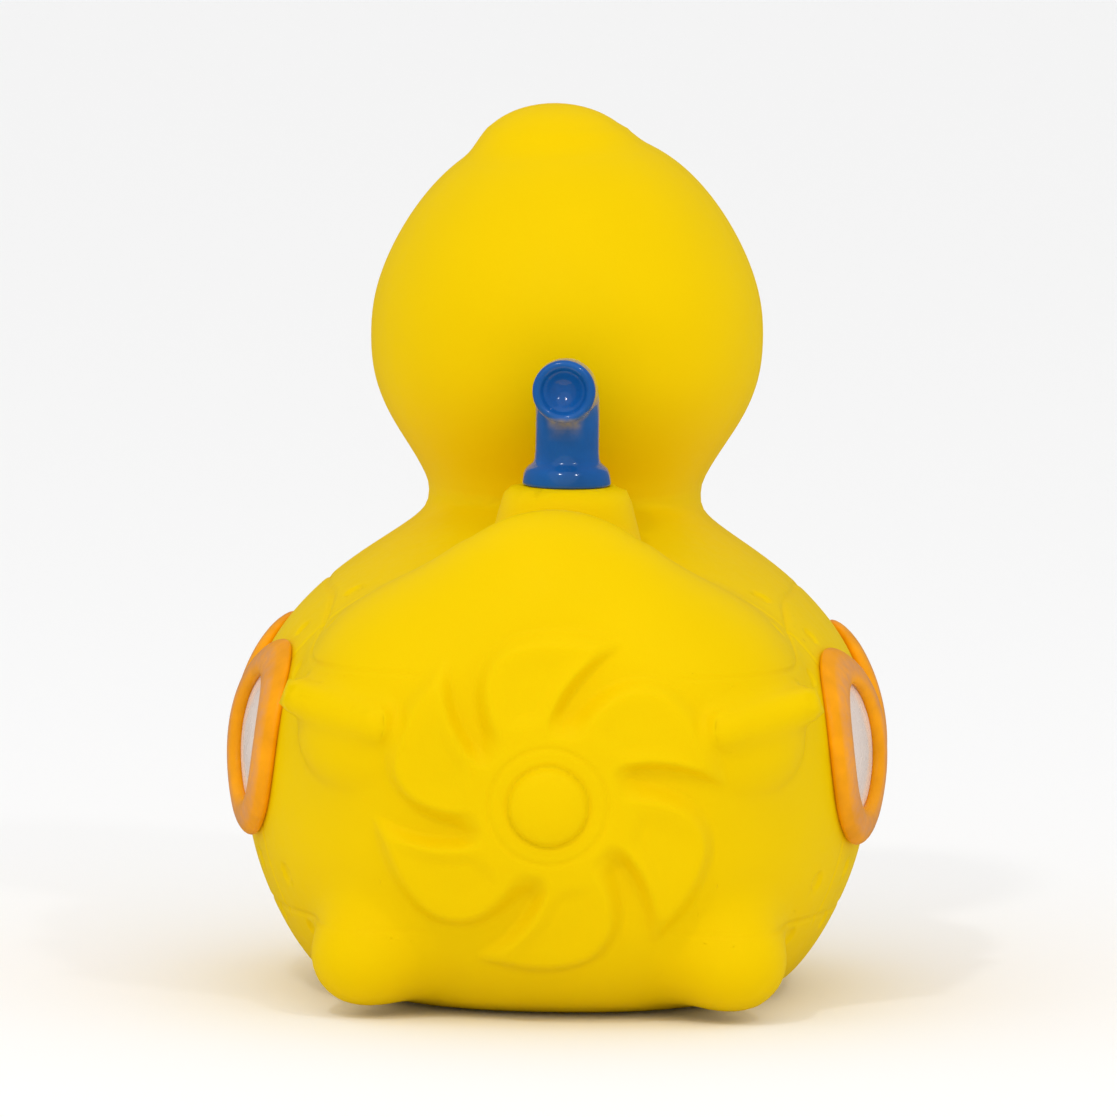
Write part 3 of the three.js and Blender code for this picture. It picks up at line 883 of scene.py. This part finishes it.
class DUCK_OT_face(bpy.types.Operator):
    """Give the front a generic two-part bill and a pair of domed eyes"""

    bl_idname = "duck.face"
    bl_label = "Bill and eyes"

    def execute(self, context):
        form = BodyForm()
        self.bill("beak_upper", "upper_bill", 0.66)
        self.bill("beak_lower", "lower_bill", 0.24)
        for name, _ in SIDES:
            for part, key, lift, dome in (("eye", "white", -0.5, 1.25), ("pupil", "black", 0.1, 1.05)):
                low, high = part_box(f"{part}_{name}")
                middle = (low + high) / 2 / MM
                bearing = math.atan2(middle.x, middle.y - float(form.middle(middle.z)))
                width, height = (high.x - low.x) / MM / 2 / math.cos(bearing), (high.z - low.z) / MM / 2
                self.patch(form, f"{part}_{name}", key, bearing, middle.z, width, height, lift, dome)
        return {"FINISHED"}

    def patch(self, form, node, key, bearing, z, width, height, lift, dome):
        """A low dome with its rim sunk into the head."""
        deselect()
        bpy.ops.mesh.primitive_uv_sphere_add(segments=48, ring_count=24, radius=1)
        ball = bpy.context.object
        bpy.ops.object.transform_apply(location=True, rotation=True, scale=True)
        co = points(ball)
        co[:, 2] = lift + np.maximum(co[:, 2], -0.25) * dome
        set_points(ball, co * np.array([width, height, 1.0]))
        lay_on_head(ball, form, bearing, z)
        outward(ball)
        activate(ball)
        bpy.ops.object.shade_smooth()
        finish_piece(ball, f"{node}_dome", BODY, f"{key}_paint", material(key), node)

    def bill(self, node, name, lift):
        """A flattened lobe sunk into the head, with its broad tip turned up by the lift in millimetres."""
        low, high = (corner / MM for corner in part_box(node))
        deselect()
        bpy.ops.mesh.primitive_uv_sphere_add(segments=64, ring_count=32, radius=1)
        lobe = bpy.context.object
        bpy.ops.object.transform_apply(location=True, rotation=True, scale=True)
        co = points(lobe)
        width, thick, middle = (high.x - low.x) / 2, (high.z - low.z) / 2, (low.z + high.z) / 2
        along = co[:, 1]
        round_off = np.sqrt(np.maximum(1 - along**2, 1e-4))
        fuller = (1 - np.abs(along) ** BLUNT).clip(0) ** (1 / BLUNT) / round_off
        tip = smoothstep(0.2, 0.95, along)
        across = co[:, 0] * fuller * width * (0.94 + 0.06 * smoothstep(0.1, 0.8, along))
        up = co[:, 2] * fuller * thick * (1 - 0.25 * tip) + lift * tip
        co = np.column_stack([across, high.y - BILL_REACH + along * BILL_REACH, middle + up])
        set_points(lobe, co * MM)
        outward(lobe)
        activate(lobe)
        bpy.ops.object.shade_smooth()
        finish_piece(lobe, name, BODY, "orange_paint", material("orange"), node)


# ---------------------------------------------------------------- base
SLIDE_GAP = 0.3 * MM                 # round the whistle, so that it slides in its hole
BALLAST_BORE = 5.4 * MM
AIR_HOLE = 0.8 * MM                  # radius of the hole through the whistle's cup and tongue
CUP_FLOOR, CUP_RADIUS = 1.8 * MM, 3.0 * MM


def turned_ring(name, inner, outer, bottom, top, edge):
    """A washer with softened edges, all in metres."""
    deselect()
    bpy.ops.mesh.primitive_cylinder_add(vertices=96, radius=outer, depth=top - bottom,
                                        location=(0, 0, (top + bottom) / 2))
    ring = bpy.context.object
    bpy.ops.mesh.primitive_cylinder_add(vertices=96, radius=inner, depth=2 * (top - bottom),
                                        location=(0, 0, (top + bottom) / 2))
    bore = bpy.context.object
    apply_modifier(ring, "BOOLEAN", operation="DIFFERENCE", object=bore, solver="EXACT")
    bpy.data.objects.remove(bore)
    apply_modifier(ring, "BEVEL", width=edge, segments=3, limit_method="ANGLE")
    smooth(ring, 40)
    ring.name = name
    return ring


class DUCK_OT_base(bpy.types.Operator):
    """Close the base with its disc, and fit the ballast ring and the pull-out whistle"""

    bl_idname = "duck.base"
    bl_label = "Base fittings"

    def execute(self, context):
        disc_low, disc_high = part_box("base_disc")
        case_low, case_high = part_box("whistle_case")
        reed_low, reed_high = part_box("whistle_reed")
        ring_low, ring_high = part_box("ballast_ring")
        hole = case_high.x + SLIDE_GAP
        disc = turned_ring("base_disc_turned", hole, disc_high.x, disc_low.z, disc_high.z, 0.35 * MM)
        finish_piece(disc, "base_closure", BODY, "yellow_vinyl", material("vinyl"), "base_disc")
        ballast = turned_ring("ballast_turned", BALLAST_BORE, ring_high.x, ring_low.z, ring_high.z, 0.4 * MM)
        finish_piece(ballast, "ballast_washer", BODY, "ballast_steel", material("steel"), "ballast_ring")
        case = turned_ring("case_turned", AIR_HOLE, case_high.x, case_low.z, case_high.z, 0.25 * MM)
        deselect()
        floor = case_low.z + CUP_FLOOR
        bpy.ops.mesh.primitive_cylinder_add(vertices=64, radius=CUP_RADIUS, depth=case_high.z - floor,
                                            location=(0, 0, (case_high.z + floor) / 2 + 0.2 * MM))
        bore = bpy.context.object
        apply_modifier(case, "BOOLEAN", operation="DIFFERENCE", object=bore, solver="EXACT")
        bpy.data.objects.remove(bore)
        smooth(case, 40)
        finish_piece(case, "whistle_cup", WHISTLE, "white_plastic", material("plastic"), "whistle_case")
        reed = turned_ring("reed_turned", AIR_HOLE, reed_high.x, reed_low.z, reed_high.z, 0.5 * MM)
        finish_piece(reed, "whistle_tongue", WHISTLE, "white_plastic", material("plastic"), "whistle_reed")
        return {"FINISHED"}


# ---------------------------------------------------------------- stage
def weaker_in_gloss(tree, socket, seen, mirrored):
    """Gives a socket one value for what is seen or lit and a lower one for what gloss reflects."""
    path, value = tree.nodes.new("ShaderNodeLightPath"), tree.nodes.new("ShaderNodeMapRange")
    value.inputs["To Min"].default_value = seen
    value.inputs["To Max"].default_value = mirrored
    tree.links.new(path.outputs["Is Glossy Ray"], value.inputs["Value"])
    tree.links.new(value.outputs["Result"], socket)


class DUCK_OT_stage(bpy.types.Operator):
    """Set the floor, soft lights, pale surroundings and the camera"""

    bl_idname = "duck.stage"
    bl_label = "Stage"

    def execute(self, context):
        settings = context.scene.duck_stage
        high = Vector(CAD_BOX[1])
        self.floor(context, settings)
        self.lights(high)
        self.camera(context, settings, high)
        context.scene.view_settings.view_transform = "Standard"
        return {"FINISHED"}

    def floor(self, context, settings):
        """A broad sheet that curves up into a backdrop beyond the duck's breast, in an even white room."""
        deselect()
        size, rise, curve = 8, 4, 2.0
        bpy.ops.mesh.primitive_plane_add(size=size, location=(0, 0, -0.02 * MM))
        floor = bpy.context.object
        floor.name = "floor"
        bpy.ops.object.mode_set(mode="EDIT")
        bpy.ops.mesh.select_mode(type="EDGE")
        bpy.ops.mesh.select_all(action="DESELECT")
        mesh = bmesh.from_edit_mesh(floor.data)
        for edge in mesh.edges:
            edge.select = all(v.co.y > size / 2 - 0.1 for v in edge.verts)
        bmesh.update_edit_mesh(floor.data)
        bpy.ops.mesh.extrude_region_move(TRANSFORM_OT_translate={"value": (0, 0, rise)})
        bpy.ops.mesh.select_all(action="DESELECT")
        mesh = bmesh.from_edit_mesh(floor.data)
        for edge in mesh.edges:
            edge.select = all(v.co.y > size / 2 - 0.1 and v.co.z < 0.1 for v in edge.verts)
        bmesh.update_edit_mesh(floor.data)
        bpy.ops.mesh.bevel(offset=curve, segments=16)
        bpy.ops.object.mode_set(mode="OBJECT")
        bpy.ops.object.shade_smooth()
        finish, shader = new_material("floor_paper", grey(settings.floor), 0.9, Specular_IOR_Level=0.1)
        weaker_in_gloss(finish.node_tree, shader.inputs["Base Color"], settings.floor, settings.mirrored)
        floor.data.materials.append(finish)
        floor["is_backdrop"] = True
        world = bpy.data.worlds.new("pale_room")
        world.use_nodes = True
        sky = world.node_tree.nodes["Background"]
        sky.inputs["Color"].default_value = (1, 1, 1, 1)
        weaker_in_gloss(world.node_tree, sky.inputs["Strength"], settings.room, settings.mirrored)
        context.scene.world = world

    def lights(self, high):
        """A broad soft sun overhead and two small panels that draw the highlights."""
        sun = bpy.data.lights.new("sky_panel", "SUN")
        sun.energy, sun.angle = 0.36, math.radians(80)
        holder = bpy.data.objects.new("sky_panel", sun)
        bpy.context.collection.objects.link(holder)
        holder.rotation_euler = (math.radians(48), 0, math.radians(-8))
        for name, location, size, power in (("panel_left", (-0.2, -0.55, 0.6), 0.05, 0.7),
                                            ("panel_right", (0.3, -0.5, 0.5), 0.045, 0.35)):
            lamp = bpy.data.lights.new(name, "AREA")
            lamp.size, lamp.energy = size, power
            holder = bpy.data.objects.new(name, lamp)
            bpy.context.collection.objects.link(holder)
            holder.location = location
            aim = Vector((0, 0, high.z / 2)) - Vector(location)
            holder.rotation_euler = aim.to_track_quat("-Z", "Y").to_euler()

    def camera(self, context, settings, high):
        data = bpy.data.cameras.new("camera")
        data.sensor_width = 36
        data.lens = 36 * settings.distance / settings.span
        camera = bpy.data.objects.new("camera", data)
        context.collection.objects.link(camera)
        aim = Vector((-0.28 * MM, 0.0, high.z * 0.488))
        level, lifted = math.cos(settings.elevation), math.sin(settings.elevation)
        away = Vector((math.sin(settings.azimuth) * level, -math.cos(settings.azimuth) * level, lifted))
        camera.location = aim + settings.distance * away
        turn = (-away).to_track_quat("-Z", "Y").to_matrix() @ Matrix.Rotation(settings.roll, 3, "Z")
        camera.rotation_euler = turn.to_euler()
        context.scene.camera = camera


# ---------------------------------------------------------------- sidebar and registration
class DUCK_PT_build(bpy.types.Panel):
    """The build's settings and one button for each step"""

    bl_idname = "DUCK_PT_build"
    bl_label = "Bath Duck"
    bl_space_type = "VIEW_3D"
    bl_region_type = "UI"
    bl_category = "Bath Duck"

    def draw(self, context):
        for title, group in (("Colours", context.scene.duck_colours), ("Sizes", context.scene.duck_sizes),
                             ("Camera", context.scene.duck_stage)):
            box = self.layout.box()
            box.label(text=title)
            for name in group.__annotations__:
                box.prop(group, name)
        steps = self.layout.column(align=True)
        for step in STEPS:
            steps.operator(step.bl_idname)


STEPS = (DUCK_OT_stage, DUCK_OT_casting, DUCK_OT_periscope, DUCK_OT_portholes, DUCK_OT_face, DUCK_OT_base)
CLASSES = (DuckColours, DuckSizes, DuckStage) + STEPS + (DUCK_PT_build,)


def register():
    for item in CLASSES:
        bpy.utils.register_class(item)
    bpy.types.Scene.duck_colours = PointerProperty(type=DuckColours)
    bpy.types.Scene.duck_sizes = PointerProperty(type=DuckSizes)
    bpy.types.Scene.duck_stage = PointerProperty(type=DuckStage)


def unregister():
    for name in ("duck_stage", "duck_sizes", "duck_colours"):
        delattr(bpy.types.Scene, name)
    for item in reversed(CLASSES):
        bpy.utils.unregister_class(item)


CAD_BOX = [list(corner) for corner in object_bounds()]


def main():
    register()
    bpy.ops.duck.stage()
    bpy.ops.duck.casting()
    bpy.ops.duck.periscope()
    bpy.ops.duck.portholes()
    bpy.ops.duck.face()
    bpy.ops.duck.base()


if __name__ == "__main__":
    main()
